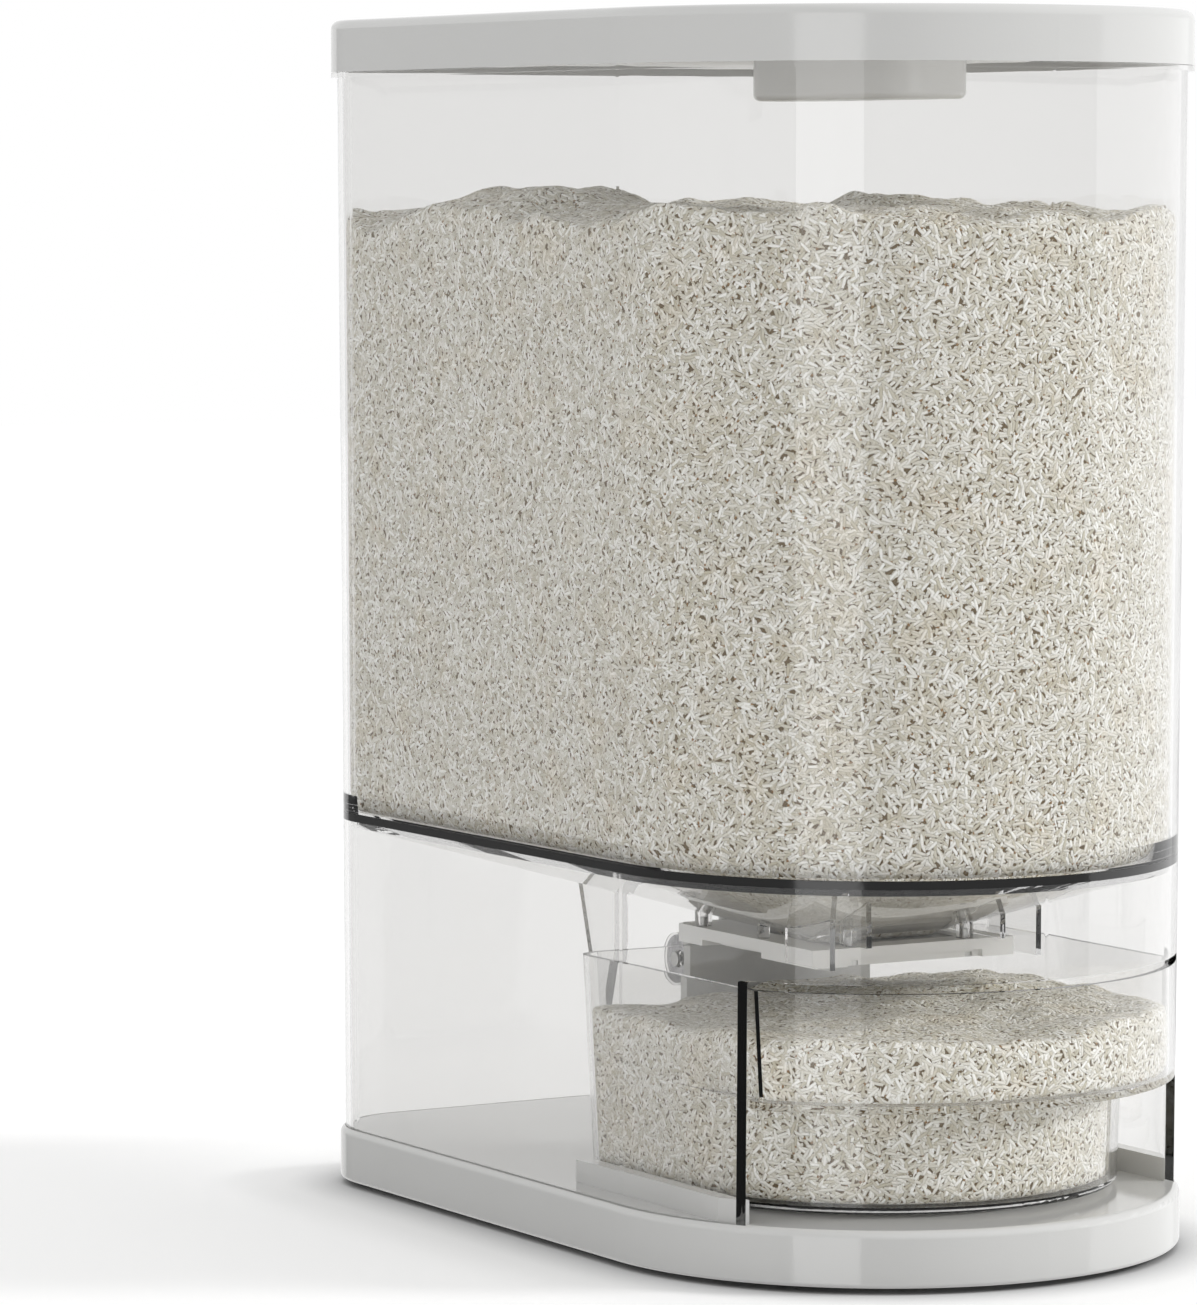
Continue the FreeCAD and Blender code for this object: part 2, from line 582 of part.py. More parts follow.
def make_spring_reel():
    """Clear reel behind the paddle: two cheeks on a hollow hub."""
    right = REEL_LEFT + REEL_WIDTH
    cheeks = [axle(REEL_RADIUS, REEL_LEFT, REEL_LEFT + REEL_CHEEK, REEL_Y, REEL_Z),
              axle(REEL_RADIUS, right - REEL_CHEEK, right, REEL_Y, REEL_Z)]
    hub = axle(REEL_HUB_RADIUS, REEL_LEFT, right, REEL_Y, REEL_Z)
    reel = hub.fuse(cheeks)
    return reel.cut(axle(PIN_RADIUS + PIN_GAP, REEL_LEFT, right, REEL_Y, REEL_Z)).removeSplitter()


def strip_sides():
    """Left and right edges of the flat spring, between the cheeks of the reel."""
    return REEL_LEFT + REEL_CHEEK + FIT_GAP, REEL_LEFT + REEL_WIDTH - REEL_CHEEK - FIT_GAP


def strip_peg_place():
    """Centre of the peg under the frame that holds the end of the strip."""
    left, right = strip_sides()
    return (left + right) / 2, FRAME_REAR - STRIP_TAIL / 2


def make_return_spring():
    """Wound roll of the flat return spring on the reel."""
    left, right = strip_sides()
    roll = axle(SPRING_OUTER_RADIUS, left, right, REEL_Y, REEL_Z)
    return roll.cut(axle(REEL_HUB_RADIUS + PIN_GAP, left, right, REEL_Y, REEL_Z))


def make_spring_strip():
    """Free end of the flat spring, from the roll forward to its peg under the frame."""
    left, right = strip_sides()
    x, y = strip_peg_place()
    top = STRIP_BOTTOM + STRIP_THICKNESS
    strip = box(left, right, FRAME_REAR - STRIP_TAIL, REEL_Y, STRIP_BOTTOM, top)
    return strip.cut(upright(STRIP_PEG_RADIUS + PIN_GAP, x, y, STRIP_BOTTOM, top))


def make_reel_pin():
    """Pin that carries the reel on the paddle's boss."""
    head_right = REEL_LEFT - FIT_GAP
    head_left = head_right - PIN_HEAD
    pin = axle(PIN_RADIUS, head_left, PADDLE_FLANGE_LEFT, REEL_Y, REEL_Z)
    return pin.fuse(axle(PIN_HEAD_RADIUS, head_left, head_right, REEL_Y, REEL_Z)).removeSplitter()


def cup_wire(inset, z):
    """Section of the cup below its front bulge, moved inwards by inset."""
    half = cup_half(z) - inset
    back = CUP_BACK_TOP - CUP_BACK_DRAFT * (1 - cup_share(z)) - inset
    front_round = half - FRONT_FLAT / 2
    return outline(half, ARC_Y - front_round, back, front_round, CUP_CORNER - inset, z)


def cup_half(z):
    """Half width of the cup at height z."""
    return CUP_HALF_BOTTOM + (CUP_HALF_TOP - CUP_HALF_BOTTOM) * cup_share(z)


def cup_share(z):
    """Height z as a share of the cup's height above its floor."""
    return (z - CUP_FLOOR_Z) / (CUP_TOP - CUP_FLOOR_Z)


def cup_bulge(inset, z_low, z_high):
    """Front bulge of the cup: flush with the lower shell, with the drafted sides of the tub."""
    sides = []
    for z in (z_low, z_high):
        half = cup_half(z) - inset
        corners = [Vec(-half, -OUTER, z), Vec(half, -OUTER, z), Vec(half, ARC_Y, z), Vec(-half, ARC_Y, z)]
        sides.append(Part.makePolygon(corners + corners[:1]))
    return body_plate(inset, z_low, z_high, BASE_TOP).common(loft(sides[0], sides[1]))


def make_drawer_cup():
    """Clear drawer cup: drafted tub with a front bulge whose underside is the finger grip."""
    tub = loft(cup_wire(0, CUP_FLOOR_Z), cup_wire(0, CUP_TOP))
    tub = tub.makeFillet(CUP_FOOT_ROUND, flat_edges(tub, CUP_FLOOR_Z))
    cup = tub.fuse(cup_bulge(0, CUP_LEDGE_Z, CUP_TOP))
    floor = CUP_FLOOR_Z + CUP_WALL
    hollow = loft(cup_wire(CUP_WALL, floor), cup_wire(CUP_WALL, CUP_TOP))
    cup = cup.cut(hollow.fuse(cup_bulge(CUP_WALL, CUP_LEDGE_Z + CUP_WALL, CUP_TOP)))
    for side in (-1, 1):
        x = side * RUNNER_X
        cup = cup.fuse(box(x - RUNNER_WIDTH / 2, x + RUNNER_WIDTH / 2, RUNNER_FRONT, RUNNER_REAR,
                           BASE_TOP + SLIDE_GAP, CUP_FLOOR_Z + CUP_WALL / 2))
    return cup.removeSplitter()


def make_cup_rice():
    """Rice in the cup, heaped under the outlet."""
    inset = CUP_WALL + RICE_GAP
    fill = loft(cup_wire(inset, CUP_FLOOR_Z + inset), cup_wire(inset, CUP_TOP))
    fill = fill.fuse(cup_bulge(inset, CUP_LEDGE_Z + inset, CUP_TOP))
    return fill.cut(rice_surface(CUP_RICE_LEVEL, CUP_RICE_MOUNDS, OVERALL_HEIGHT)).removeSplitter()


def make_lid_cover():
    """White lid cover: flat top with a rounded edge and a straight skirt."""
    cover = body_plate(-LID_OVERHANG, LID_BOTTOM, OVERALL_HEIGHT, FLANGE_TOP)
    cover = cover.makeFillet(LID_EDGE_ROUND, flat_edges(cover, OVERALL_HEIGHT))
    room = body_plate(LID_SKIRT - LID_OVERHANG, LID_BOTTOM, OVERALL_HEIGHT - LID_TOP_THICKNESS, FLANGE_TOP)
    return cover.cut(room)


def liner_inset():
    """Distance from the outer face of the body wall to the liner's rim."""
    return BODY_WALL + LINER_TO_NECK


def make_lid_liner():
    """Inner tray of the lid: plate and upright rim with a gasket groove."""
    top = OVERALL_HEIGHT - LID_TOP_THICKNESS
    inset = liner_inset()
    liner = body_plate(inset, LINER_Z, top, NECK_TOP)
    liner = liner.cut(body_plate(inset + LINER_WALL, LINER_Z + LINER_PLATE, top, NECK_TOP))
    groove_z = LINER_Z + GASKET_RISE / 2
    groove = body_plate(0, groove_z, groove_z + GASKET_HEIGHT, NECK_TOP)
    groove = groove.cut(body_plate(inset + GASKET_GROOVE, groove_z, groove_z + GASKET_HEIGHT, NECK_TOP))
    return liner.cut(groove)


def make_case_holder():
    """Low wall under the liner that the repellent case is pushed onto."""
    half = CASE_HALF_WIDTH - CASE_WALL - SLIDE_GAP
    length = CASE_LENGTH - 2 * (CASE_WALL + SLIDE_GAP)
    bottom = LINER_Z - CASE_HOLDER_HEIGHT
    holder = stadium(half, length, CASE_CENTRE_Y, bottom, LINER_Z)
    return holder.cut(stadium(half - CASE_WALL, length - 2 * CASE_WALL, CASE_CENTRE_Y, bottom, LINER_Z))


def make_lid_gasket():
    """Soft ring in the liner's groove that seals against the neck of the tank."""
    groove_z = LINER_Z + GASKET_RISE / 2
    outer = BODY_WALL + SLIDE_GAP + wall_growth(NECK_TOP) - wall_growth(FLANGE_TOP)
    ring = body_plate(outer, groove_z, groove_z + GASKET_HEIGHT, NECK_TOP)
    return ring.cut(body_plate(liner_inset() + GASKET_GROOVE, groove_z, groove_z + GASKET_HEIGHT, NECK_TOP))


def make_repellent_case():
    """Slotted case for an insect repellent sachet, pushed onto the holder under the lid."""
    top = LINER_Z - SLIDE_GAP
    case = stadium(CASE_HALF_WIDTH, CASE_LENGTH, CASE_CENTRE_Y, CASE_BOTTOM, top)
    case = case.makeFillet(CASE_BOTTOM_ROUND, flat_edges(case, CASE_BOTTOM))
    case = case.cut(stadium(CASE_HALF_WIDTH - CASE_WALL, CASE_LENGTH - 2 * CASE_WALL, CASE_CENTRE_Y,
                            CASE_BOTTOM + CASE_WALL, top))
    slots = []
    for slot in range(CASE_SLOTS):
        y = CASE_CENTRE_Y + (slot - (CASE_SLOTS - 1) / 2) * CASE_SLOT_PITCH
        reach = CASE_HALF_WIDTH / 2
        slots.append(box(-reach, reach, y - CASE_SLOT_WIDTH / 2, y + CASE_SLOT_WIDTH / 2,
                         CASE_BOTTOM, CASE_BOTTOM + CASE_WALL))
    return case.cut(slots)


def make_repellent_sachet():
    """Flat sachet that lies on the floor of the case."""
    half = CASE_HALF_WIDTH - CASE_WALL - SACHET_MARGIN / 2
    length = CASE_LENGTH - 2 * (CASE_WALL + SACHET_MARGIN)
    bottom = CASE_BOTTOM + CASE_WALL
    return stadium(half, length, CASE_CENTRE_Y, bottom, bottom + SACHET_THICKNESS)


def build():
    """Every sub-part by the name of its node."""
    parts = {
        "base": make_base(),
        "lower_shell": make_lower_shell(),
        "body_seal": make_body_seal(),
        "tank": make_tank(),
        "tank_rice": make_tank_rice(),
        "shutter_frame": make_shutter_frame(),
        "frame_screws": make_frame_screws(),
        "shutter_plate": make_shutter_plate(),
        "push_paddle": make_push_paddle(),
        "paddle_screws": make_paddle_screws(),
        "spring_reel": make_spring_reel(),
        "return_spring": make_return_spring(),
        "spring_strip": make_spring_strip(),
        "reel_pin": make_reel_pin(),
        "drawer_cup": make_drawer_cup(),
        "cup_rice": make_cup_rice(),
        "lid_cover": make_lid_cover(),
        "lid_liner": make_lid_liner(),
        "lid_gasket": make_lid_gasket(),
        "case_holder": make_case_holder(),
        "repellent_case": make_repellent_case(),
        "repellent_sachet": make_repellent_sachet(),
    }
    names = ("foot_front_left", "foot_front_right", "foot_rear_left", "foot_rear_right")
    for name, place in zip(names, foot_places()):
        parts[name] = make_foot(place)
    return parts


os.makedirs("parts", exist_ok=True)
for part_name, part_shape in build().items():
    part_shape.exportStep("parts/" + part_name + ".step")
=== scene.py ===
"""Clear upright rice dispenser with a white base and lid and a push-in drawer cup.

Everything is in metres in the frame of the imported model: +Z up, rounded front towards -Y.
"""
import math

import bpy
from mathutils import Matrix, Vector


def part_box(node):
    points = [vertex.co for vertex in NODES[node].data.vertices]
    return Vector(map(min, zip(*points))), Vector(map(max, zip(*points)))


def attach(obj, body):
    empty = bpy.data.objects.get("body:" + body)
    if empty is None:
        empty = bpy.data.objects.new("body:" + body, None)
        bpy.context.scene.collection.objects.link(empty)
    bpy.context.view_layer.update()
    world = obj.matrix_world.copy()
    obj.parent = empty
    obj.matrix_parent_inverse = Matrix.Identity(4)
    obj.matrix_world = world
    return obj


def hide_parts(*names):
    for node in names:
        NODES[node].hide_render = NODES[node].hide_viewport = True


bl_info = {
    "name": "Rice dispenser",
    "version": (1, 0, 0),
    "blender": (4, 5, 0),
    "location": "3D View > Sidebar > Dispenser",
    "description": "Builds a clear rice dispenser with a drawer cup, its rice and a studio round it",
    "category": "Object",
}

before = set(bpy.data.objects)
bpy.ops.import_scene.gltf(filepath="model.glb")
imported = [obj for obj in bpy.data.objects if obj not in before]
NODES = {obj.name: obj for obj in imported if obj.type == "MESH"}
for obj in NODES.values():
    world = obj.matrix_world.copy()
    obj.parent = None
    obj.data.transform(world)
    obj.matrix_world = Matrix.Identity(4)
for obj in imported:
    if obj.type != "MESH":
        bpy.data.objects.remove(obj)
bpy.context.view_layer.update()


def grey(level):
    """An opaque grey colour."""
    return (level, level, level, 1.0)


# Clear plastic. Light that is still inside a wall after MOST_BENDS bends goes straight on.
CLEAR_TINT = (0.893, 0.89, 0.884, 1.0)
CLEAR_IOR = 1.46
CLEAR_CLOUDS = 9.0
CLEAR_RIPPLE = 0.00015
LAMP_TINT = grey(0.995)
TRAPPED_TINT = grey(0.89)
MOST_BENDS = 7.5

# Unevenness: a noise from its low to its high edge takes the gloss through its range
NOISE_EDGES = (0.3, 0.7)
MOULD_GLOSS = (0.9, 1.1)
METAL_GLOSS = (0.8, 1.2)
SOFT_GLOSS = (0.9, 1.0)

# Moulded plastic and rubber
MOULD_CLOUDS = 14.0
MOULD_SHADE = 0.985
MOULD_TEXTURE = 900.0
SEAL_TEXTURE = 500.0
MOULD_DEPTH = 0.00002
SOFT_TOOTH = 1500.0
SOFT_SHADE = 0.8
SOFT_DEPTH = 0.00003
BASE_ROUGH = 0.07
LID_ROUGH = 0.10
SEAL_ROUGH = 0.10
SHUTTER_ROUGH = 0.4
LINER_ROUGH = 0.4
CASE_ROUGH = 0.25
HOLDER_ROUGH = 0.3
GASKET_ROUGH = 0.6
FOOT_ROUGH = 0.8
SEAL_BLACK = grey(0.018)
FOOT_BLACK = grey(0.10)
LINER_WHITE = grey(0.92)
GASKET_WHITE = grey(0.75)
CASE_WHITE = (0.80, 0.80, 0.79, 1.0)
HOLDER_WHITE = (0.75, 0.75, 0.74, 1.0)

# Metal, with lines drawn across Y
DRAWN_STRETCH = (1.0, 30.0, 1.0)
DRAWN_TEXTURE = 400.0
DRAWN_SHADE = 0.9
SCREW_STEEL = (0.62, 0.62, 0.61, 1.0)
SPRING_STEEL = (0.58, 0.58, 0.60, 1.0)
SCREW_ROUGH = 0.35
SPRING_ROUGH = 0.25

# Rice grains. Each layer is the same field of cells moved along, with one grain in a cell.
GRAIN_CELL = 0.0031
GRAIN_LAYERS = (
    (0.0, 0.0, 0.0),
    (7.3, 2.1, 5.7),
    (3.9, 8.8, 1.2),
    (5.1, 4.4, 9.6),
    (1.7, 6.2, 3.3),
    (8.6, 0.7, 6.9),
)
LAYER_RISE = 0.3
# The gaps between the grains are a dark brown as painted shade.
GRAIN_GAP_SHADE = (0.15, 0.105, 0.05, 1.0)
GRAIN_DULL = (0.57, 0.53, 0.42, 1.0)
GRAIN_BRIGHT = (0.97, 0.965, 0.93, 1.0)
GRAIN_TIP = (0.30, 0.175, 0.065, 1.0)
# Each grain darkens towards its rim as painted shade on its rounded edge.
GRAIN_RIM_SHADE = (0.46, 0.41, 0.30)
GRAIN_EDGE = 0.18
RIM_EDGE = 0.45
BARE_TIPS = (0.82, 0.84)
TIP_START = 0.4
TIP_END = 0.6
WARM_PATCH = (0.93, 0.85, 0.72)
WARM_CLOUDS = 60.0
WARM_EDGES = (0.5, 0.72)
WARM_SHARE = 0.4
GRAIN_ROUGH = 0.45
GRAIN_SPECULAR = 0.35
GRAIN_RELIEF = 0.0006
RELIEF_STRENGTH = 0.9

# Rice heaps. Lumps are pairs of their size and their share of the highest.
HEAP_MESH = 0.0026
HEAP_DEPTH = 0.012
HEAP_FLATTEST = 0.5
HEAP_LUMPS = ((0.034, 1.0), (0.012, 0.3), (0.0024, 0.09))
LUMP_LEVEL = 0.55
HEAP_SMOOTHING = 8
# The cup's rice is the tank's rice painted lighter, as painted light for what the walls round the
# cup hold back.
TANK_BRIGHT = 1.0
CUP_PAINTED_LIGHT = 1.07
MERGE = 0.00002

# Sachet
SACHET_SHARE = 0.88
SACHET_CUTS = 15
SACHET_FILLED = 0.9
SACHET_FLAT = 0.07
SACHET_CRIMP = 0.12
SACHET_PLEAT = 0.0006
SACHET_GATHER = 0.08
SACHET_PAPER = (0.8, 0.79, 0.75, 1.0)
SACHET_ROUGH = 0.9

# Camera
CAMERA_PLACE = (-1.0795, -1.7069, 0.3471)
CAMERA_AIM = (0.5067, 0.8586, -0.0780)
CAMERA_LENS = 167.91
SENSOR = 36.0

# Floor. Its colour darkens within CONTACT_REACH of the base as a painted contact shadow, and it
# glows where nothing is within GLOW_REACH, so the fading glow paints shade near the base too.
FLOOR_REACH = 6.0
FLOOR_PAINTED_SHADOW = grey(0.15)
FLOOR_PALE = grey(0.86)
CONTACT_REACH = 0.02
GLOW_REACH = 0.05
GLOW_SHARE = 0.25
GLOW_STRENGTH = 1.4
CORNER_SAMPLES = 8

# Studio panels, by their azimuths in degrees, and the key lamp
PANEL_DISTANCE = 3.0
PANEL_LOW = -1.2
PANEL_HIGH = 0.62
STRIP_AZIMUTHS = (-62.4, -38.0)
SIDE_AZIMUTHS = (53.0, 118.0)
FLAG_START = -170.0
FLAG_LIGHT = 0.25
SIDE_LIGHT = 1.3
KEY_AZIMUTH = 59.5
KEY_RISE = 28.0
KEY_ANGLE = 11.0


class Link:
    """A socket of a material: arithmetic on it adds Math nodes."""

    def __init__(self, paint, socket):
        self.paint = paint
        self.socket = socket

    def sibling(self, name):
        """Another output of the same node."""
        return Link(self.paint, self.socket.node.outputs[name])

    def _math(self, operation, first, second):
        return self.paint.add("ShaderNodeMath", {"operation": operation}, {0: first, 1: second})

    def most(self, other):
        """The larger of two values."""
        return self._math("MAXIMUM", self, other)

    def __add__(self, other):
        return self._math("ADD", self, other)

    def __sub__(self, other):
        return self._math("SUBTRACT", self, other)

    def __mul__(self, other):
        return self._math("MULTIPLY", self, other)

    def __truediv__(self, other):
        return self._math("DIVIDE", self, other)

    def __gt__(self, other):
        return self._math("GREATER_THAN", self, other)

    def __rsub__(self, other):
        return self._math("SUBTRACT", other, self)

    __radd__ = __add__
    __rmul__ = __mul__


class Paint:
    """One material or the world, built by adding nodes."""

    def __init__(self, name, tree=None):
        if tree is None:
            self.material = bpy.data.materials.new(name)
            self.material.use_nodes = True
            tree = self.material.node_tree
        self.tree = tree
        tree.nodes.clear()

    def add(self, kind, settings=None, sockets=None, out=0):
        """Adds a node with its settings, then the values or links of its sockets."""
        node = self.tree.nodes.new(kind)
        for key, value in (settings or {}).items():
            setattr(node, key, value)
        for key, value in (sockets or {}).items():
            if isinstance(value, Link):
                self.tree.links.new(value.socket, node.inputs[key])
            else:
                node.inputs[key].default_value = value
        return Link(self, node.outputs[out])

    def send(self, link, kind):
        """Sends a shader to an output node."""
        node = self.tree.nodes.new(kind)
        self.tree.links.new(link.socket, node.inputs["Surface"])

    def surface(self, link):
        """Sends a shader to the material output."""
        self.send(link, "ShaderNodeOutputMaterial")
        return self.material

    def principled(self, sockets):
        """Finishes the material with one Principled shader."""
        return self.surface(self.add("ShaderNodeBsdfPrincipled", None, sockets))

    def blend(self, share, first, second):
        """A mix of two shaders."""
        return self.add("ShaderNodeMixShader", None, {0: share, 1: first, 2: second})

    def place(self):
        """Object coordinates, in metres."""
        return self.add("ShaderNodeTexCoord", out="Object")

    def normal(self):
        """The surface normal."""
        return self.add("ShaderNodeNewGeometry", out="Normal")

    def vector(self, operation, first, second=None, scale=None, out="Vector"):
        """A Vector Math node."""
        sockets = {0: first}
        if second is not None:
            sockets[1] = second
        if scale is not None:
            sockets["Scale"] = scale
        return self.add("ShaderNodeVectorMath", {"operation": operation}, sockets, out)

    def dot(self, first, second):
        """Dot product of two vectors."""
        return self.vector("DOT_PRODUCT", first, second, out="Value")

    def ramp(self, value, low, high, start=0.0, end=1.0):
        """A smooth step of a value between low and high."""
        settings = {"interpolation_type": "SMOOTHSTEP"}
        sockets = {
            "Value": value,
            "From Min": low,
            "From Max": high,
            "To Min": start,
            "To Max": end,
        }
        return self.add("ShaderNodeMapRange", settings, sockets, "Result")

    def gloss(self, noise, rough, spread):
        """A roughness that follows a noise, from and to shares of its usual value."""
        return self.ramp(noise, *NOISE_EDGES, rough * spread[0], rough * spread[1])

    def tint(self, share, first, second):
        """A colour mix by a share."""
        settings = {"data_type": "RGBA"}
        return self.add("ShaderNodeMix", settings, {"Factor": share, 6: first, 7: second}, 2)

    def noise(self, place, scale, detail=2.0):
        """Noise of the given scale."""
        sockets = {"Vector": place, "Scale": scale, "Detail": detail}
        return self.add("ShaderNodeTexNoise", None, sockets, "Fac")

    def bump(self, height, distance, strength=1.0):
        """A bumped normal from a height."""
        sockets = {"Height": height, "Distance": distance, "Strength": strength}
        return self.add("ShaderNodeBump", None, sockets, "Normal")

    def corners(self, reach):
        """One in the open, less where something stands within reach."""
        settings = {"samples": CORNER_SAMPLES}
        return self.add("ShaderNodeAmbientOcclusion", settings, {"Distance": reach}, "AO")

    def path(self, name):
        """One of Light Path's ray kinds or its ray depth."""
        return self.add("ShaderNodeLightPath", out=name)

    def direct_ray(self):
        """One for what the eye sees itself, in a mirror or through glass."""
        direct = self.path("Is Camera Ray").most(self.path("Is Glossy Ray"))
        return direct.most(self.path("Is Transmission Ray"))


def shade(colour, share):
    """A darker opaque colour."""
    return tuple(level * share for level in colour[:3]) + (1.0,)


def opaque(colour):
    """A colour property as a colour with alpha."""
    return tuple(colour) + (1.0,)


def moulded(name, colour, rough, texture=MOULD_TEXTURE):
    """Moulded plastic: a plain colour with fine unevenness in its gloss and surface."""
    paint = Paint(name)
    place = paint.place()
    fine = paint.noise(place, texture)
    broad = paint.noise(place, MOULD_CLOUDS, 3.0)
    clouds = paint.ramp(broad, *NOISE_EDGES)
    return paint.principled({
        "Base Color": paint.tint(clouds, shade(colour, MOULD_SHADE), colour),
        "Roughness": paint.gloss(broad, rough, MOULD_GLOSS),
        "Normal": paint.bump(fine, MOULD_DEPTH),
    })


def clear_plastic(name):
    """Clear moulded plastic that lets the lamps reach what is behind it."""
    paint = Paint(name)
    broad = paint.noise(paint.place(), CLEAR_CLOUDS)
    glass = paint.add("ShaderNodeBsdfPrincipled", None, {
        "Base Color": CLEAR_TINT,
        "Roughness": 0.0,
        "IOR": CLEAR_IOR,
        "Transmission Weight": 1.0,
        "Normal": paint.bump(broad, CLEAR_RIPPLE),
    })
    lamps = paint.add("ShaderNodeBsdfTransparent", None, {"Color": LAMP_TINT})
    spent = paint.add("ShaderNodeBsdfTransparent", None, {"Color": TRAPPED_TINT})
    walls = paint.blend(paint.path("Ray Depth") > MOST_BENDS, glass, spent)
    lit = paint.blend(paint.path("Is Shadow Ray"), walls, lamps)
    return paint.surface(paint.blend(paint.path("Is Diffuse Ray"), lit, lamps))


def rice_grains(name, brightness):
    """Loose rice: layers of long grains that lie along the surface, with brown tips, with rims and
    gaps darkened as painted shade, and scaled by a brightness that paints light where it is above
    one.
    """
    paint = Paint(name)
    place = paint.place()
    normal = paint.normal()
    scaled = paint.vector("SCALE", place, scale=1 / GRAIN_CELL)
    long = settings().grain_length / 2 / GRAIN_CELL
    wide = settings().grain_width / 2 / GRAIN_CELL
    height = None
    colour = GRAIN_GAP_SHADE
    for order, offset in enumerate(GRAIN_LAYERS):
        moved = paint.vector("ADD", scaled, offset)
        cell = paint.add("ShaderNodeTexVoronoi", {"feature": "F1"},
                         {"Vector": moved, "Scale": 1.0}, "Color")
        # The grain lies on the surface at the cell's point, turned by the cell's colour
        away = paint.vector("SUBTRACT", moved, cell.sibling("Position"))
        lift = paint.dot(away, normal)
        flat = paint.vector("SUBTRACT", away, paint.vector("SCALE", normal, scale=lift))
        turn = paint.vector("SUBTRACT", cell, (0.5, 0.5, 0.5))
        axis = paint.vector("NORMALIZE", paint.vector("CROSS_PRODUCT", normal, turn))
        along = paint.dot(flat, axis)
        across = paint.dot(flat, flat) - along * along
        crown = 1.0 - along * along / long ** 2 - across / wide ** 2
        inside = paint.ramp(crown, 0.0, GRAIN_EDGE)
        # Its own brightness, brown tip, and a darker rim that is painted shade on the grain's
        # rounded edge
        luck = paint.add("ShaderNodeSeparateColor", None, {"Color": cell}, "Red")
        # brightness scales the grains; for the cup it paints light.
        grain = paint.vector("SCALE", paint.tint(luck, GRAIN_DULL, GRAIN_BRIGHT), scale=brightness)
        tipped = paint.ramp(luck.sibling("Green"), *BARE_TIPS)
        tip = paint.ramp(along, TIP_START * long, TIP_END * long)
        grain = paint.tint(tipped * tip, grain, GRAIN_TIP)
        shaded_rim = paint.vector("MULTIPLY", grain, GRAIN_RIM_SHADE)
        grain = paint.tint(paint.ramp(crown, 0.0, RIM_EDGE), shaded_rim, grain)
        colour = paint.tint(inside, colour, grain)
        rise = inside * (paint.ramp(crown, 0.0, 1.0) * 0.5 + 0.5 + order * LAYER_RISE)
        height = rise if height is None else height.most(rise)
    patches = paint.ramp(paint.noise(place, WARM_CLOUDS, 3.0), *WARM_EDGES)
    warm = paint.vector("MULTIPLY", colour, WARM_PATCH)
    return paint.principled({
        "Base Color": paint.tint(patches * WARM_SHARE, colour, warm),
        "Roughness": GRAIN_ROUGH,
        "Specular IOR Level": GRAIN_SPECULAR,
        "Normal": paint.bump(height, GRAIN_RELIEF, RELIEF_STRENGTH),
    })


def metal(name, colour, rough):
    """Bright metal with faint drawn lines."""
    paint = Paint(name)
    stretched = paint.vector("MULTIPLY", paint.place(), DRAWN_STRETCH)
    lines = paint.noise(stretched, DRAWN_TEXTURE)
    return paint.principled({
        "Base Color": paint.tint(lines, shade(colour, DRAWN_SHADE), colour),
        "Metallic": 1.0,
        "Roughness": paint.gloss(lines, rough, METAL_GLOSS),
    })


def soft(name, colour, rough):
    """Matte rubber or paper with a fine tooth."""
    paint = Paint(name)
    tooth = paint.noise(paint.place(), SOFT_TOOTH, 4.0)
    return paint.principled({
        "Base Color": paint.tint(tooth, shade(colour, SOFT_SHADE), colour),
        "Roughness": paint.gloss(tooth, rough, SOFT_GLOSS),
        "Normal": paint.bump(tooth, SOFT_DEPTH),
    })


def emission(name, strength):
    """A material that only shines."""
    paint = Paint(name)
    sockets = {"Color": grey(1.0), "Strength": strength}
    return paint.surface(paint.add("ShaderNodeEmission", None, sockets))


def settings():
    """The user's sizes and colours."""
    return bpy.context.scene.dispenser


def dress(material, *nodes):
    """Gives CAD nodes their finish."""
    for node in nodes:
        piece = NODES[node]
        piece.data.materials.clear()
        piece.data.materials.append(material)


def clear_selection():
    """Deselects everything."""
    bpy.ops.object.select_all(action="DESELECT")


def working_copy(node, name):
    """A new object with a merged copy of a CAD node's mesh, active and alone selected."""
    clear_selection()
    piece = bpy.data.objects.new(name, NODES[node].data.copy())
    bpy.context.scene.collection.objects.link(piece)
    piece.select_set(True)
    bpy.context.view_layer.objects.active = piece
    bpy.ops.object.mode_set(mode="EDIT")
    bpy.ops.mesh.select_all(action="SELECT")
    bpy.ops.mesh.remove_doubles(threshold=MERGE)
    bpy.ops.mesh.normals_make_consistent(inside=False)
    bpy.ops.object.mode_set(mode="OBJECT")
    return piece


def apply_modifier(piece, kind, **values):
    """Adds a modifier to the active piece and applies it."""
    modifier = piece.modifiers.new(kind.lower(), kind)
    for key, value in values.items():
        setattr(modifier, key, value)
    bpy.ops.object.modifier_apply(modifier=modifier.name)


